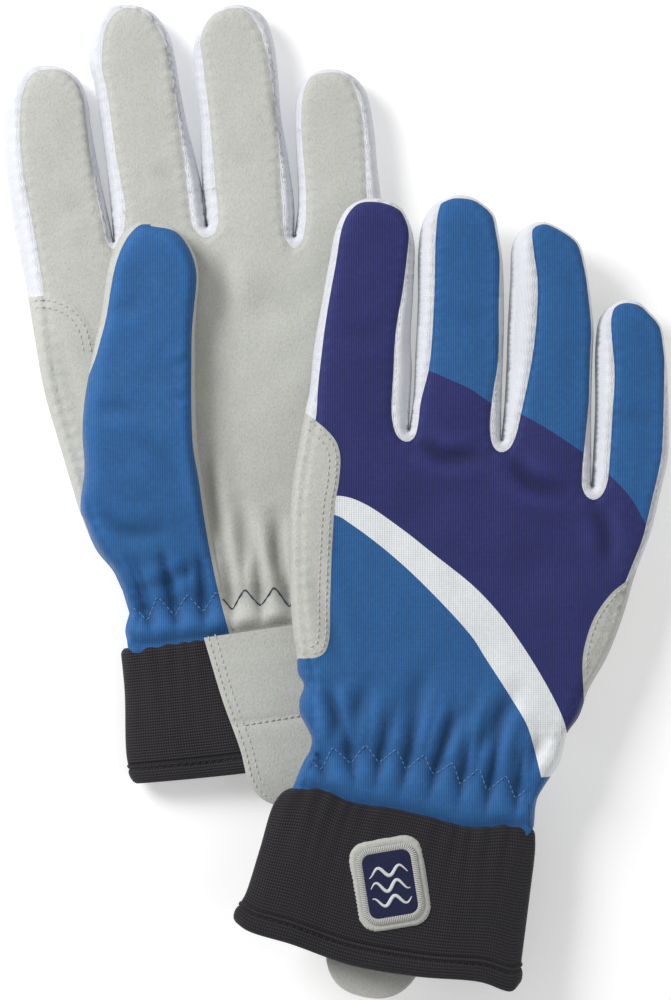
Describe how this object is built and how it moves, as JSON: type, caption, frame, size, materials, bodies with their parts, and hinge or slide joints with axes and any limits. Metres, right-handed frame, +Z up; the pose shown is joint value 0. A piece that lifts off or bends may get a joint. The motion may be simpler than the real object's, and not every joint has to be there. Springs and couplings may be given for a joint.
{
  "type": "sailing gloves",
  "caption": "Pair of full-finger sailing gloves lying flat, right over left, with suede palms, stretch backs, gusseted fingers, elastic cuffs and pull tabs.",
  "frame": {"origin": "bottom centre of the box round both gloves, on the table they lie on", "axes": "+Z up from the table, +Y towards the fingertips, +X towards the right glove's little finger"},
  "size_m": [0.2254, 0.337, 0.0363],
  "materials": {
    "suede_grey": "fine synthetic suede, matte",
    "fabric_blue": "four-way stretch knit",
    "fabric_navy": "four-way stretch knit",
    "fabric_white": "smooth stretch knit",
    "elastic_black": "ribbed elastic webbing",
    "elastic_white": "narrow braided elastic",
    "lining_white": "thin jersey"
  },
  "bodies": {
    "left_hand": {"left_back_edge_little": "fabric_blue", "left_back_edge_thumb": "fabric_blue", "left_back_panel": "fabric_blue", "left_badge_backing": "suede_grey", "left_badge_face": "fabric_navy", "left_cuff": "elastic_black", "left_gusset_webs": "fabric_white", "left_hand_lining": "lining_white", "left_hem_binding": "elastic_black", "left_palm_edge": "suede_grey", "left_palm_panel": "suede_grey", "left_pull_tab": "suede_grey", "left_thumb_base": "fabric_blue", "left_thumb_crotch_patch": "suede_grey", "left_wrist_elastic": "elastic_white"},
    "right_hand": {"right_back_edge_little": "fabric_blue", "right_back_edge_thumb": "fabric_blue", "right_back_panel": "fabric_blue", "right_badge_backing": "suede_grey", "right_badge_face": "fabric_navy", "right_cuff": "elastic_black", "right_gusset_webs": "fabric_white", "right_hand_lining": "lining_white", "right_hem_binding": "elastic_black", "right_palm_edge": "suede_grey", "right_palm_panel": "suede_grey", "right_pull_tab": "suede_grey", "right_thumb_base": "fabric_blue", "right_thumb_crotch_patch": "suede_grey", "right_wrist_elastic": "elastic_white"},
    "left_index": {"left_index_front": "suede_grey", "left_index_back": "fabric_navy", "left_index_gusset": "fabric_white"},
    "left_middle": {"left_middle_front": "suede_grey", "left_middle_back": "fabric_blue", "left_middle_gusset": "fabric_white"},
    "left_ring": {"left_ring_front": "suede_grey", "left_ring_back": "fabric_blue", "left_ring_gusset": "fabric_white"},
    "left_little": {"left_little_front": "suede_grey", "left_little_back": "fabric_blue", "left_little_gusset": "fabric_white"},
    "left_thumb": {"left_thumb_front": "suede_grey", "left_thumb_back": "fabric_blue"},
    "left_tab_tip": {"left_tab_end": "suede_grey"},
    "right_index": {"right_index_front": "suede_grey", "right_index_back": "fabric_navy", "right_index_gusset": "fabric_white"},
    "right_middle": {"right_middle_front": "suede_grey", "right_middle_back": "fabric_blue", "right_middle_gusset": "fabric_white"},
    "right_ring": {"right_ring_front": "suede_grey", "right_ring_back": "fabric_blue", "right_ring_gusset": "fabric_white"},
    "right_little": {"right_little_front": "suede_grey", "right_little_back": "fabric_blue", "right_little_gusset": "fabric_white"},
    "right_thumb": {"right_thumb_front": "suede_grey", "right_thumb_back": "fabric_blue"},
    "right_tab_tip": {"right_tab_end": "suede_grey"}
  },
  "joints": [
    {"name": "right_glove_lift", "type": "slide", "parent": "left_hand", "child": "right_hand", "axis": [0, 0, 1], "range_m": [0, 0.16]},
    {"name": "left_index_fold", "type": "hinge", "parent": "left_hand", "child": "left_index", "pos_m": [-0.09457, 0.09456, 0.014], "axis": [0.9938, 0.1115, 0], "range_deg": [0, 90]},
    {"name": "left_middle_fold", "type": "hinge", "parent": "left_hand", "child": "left_middle", "pos_m": [-0.06167, 0.09796, 0.014], "axis": [0.9919, 0.1271, 0], "range_deg": [0, 90]},
    {"name": "left_ring_fold", "type": "hinge", "parent": "left_hand", "child": "left_ring", "pos_m": [-0.02947, 0.09656, 0.014], "axis": [0.9972, 0.075, 0], "range_deg": [0, 90]},
    {"name": "left_little_fold", "type": "hinge", "parent": "left_hand", "child": "left_little", "pos_m": [0.00083, 0.10206, 0.014], "axis": [0.9976, 0.0698, 0], "range_deg": [0, 90]},
    {"name": "left_thumb_unfold", "type": "hinge", "parent": "left_hand", "child": "left_thumb", "pos_m": [-0.06807, 0.02316, 0.0263], "axis": [0.9956, -0.0941, 0], "range_deg": [0, 60]},
    {"name": "left_tab_bend", "type": "hinge", "parent": "left_hand", "child": "left_tab_tip", "pos_m": [-0.01674, -0.09259, 0.0124], "axis": [0.9933, 0.1159, 0], "range_deg": [0, 50]},
    {"name": "right_index_fold", "type": "hinge", "parent": "right_hand", "child": "right_index", "pos_m": [0.00737, 0.03096, 0.0322], "axis": [0.9902, -0.068, -0.1216], "range_deg": [0, 90]},
    {"name": "right_middle_fold", "type": "hinge", "parent": "right_hand", "child": "right_middle", "pos_m": [0.04151, 0.03096, 0.02801], "axis": [0.9925, 0.007, -0.1219], "range_deg": [0, 90]},
    {"name": "right_ring_fold", "type": "hinge", "parent": "right_hand", "child": "right_ring", "pos_m": [0.07169, 0.02416, 0.0243], "axis": [0.9924, 0.014, -0.1219], "range_deg": [0, 90]},
    {"name": "right_little_fold", "type": "hinge", "parent": "right_hand", "child": "right_little", "pos_m": [0.10007, 0.01056, 0.02082], "axis": [0.9924, 0.0157, -0.1219], "range_deg": [0, 90]},
    {"name": "right_thumb_unfold", "type": "hinge", "parent": "right_hand", "child": "right_thumb", "pos_m": [0.03176, -0.05574, 0.00271], "axis": [-0.9925, 0, 0.1219], "range_deg": [0, 60]},
    {"name": "right_tab_bend", "type": "hinge", "parent": "right_hand", "child": "right_tab_tip", "pos_m": [0.01175, -0.15497, 0.01917], "axis": [-0.9679, 0.2215, 0.1188], "range_deg": [0, 60]}
  ]
}
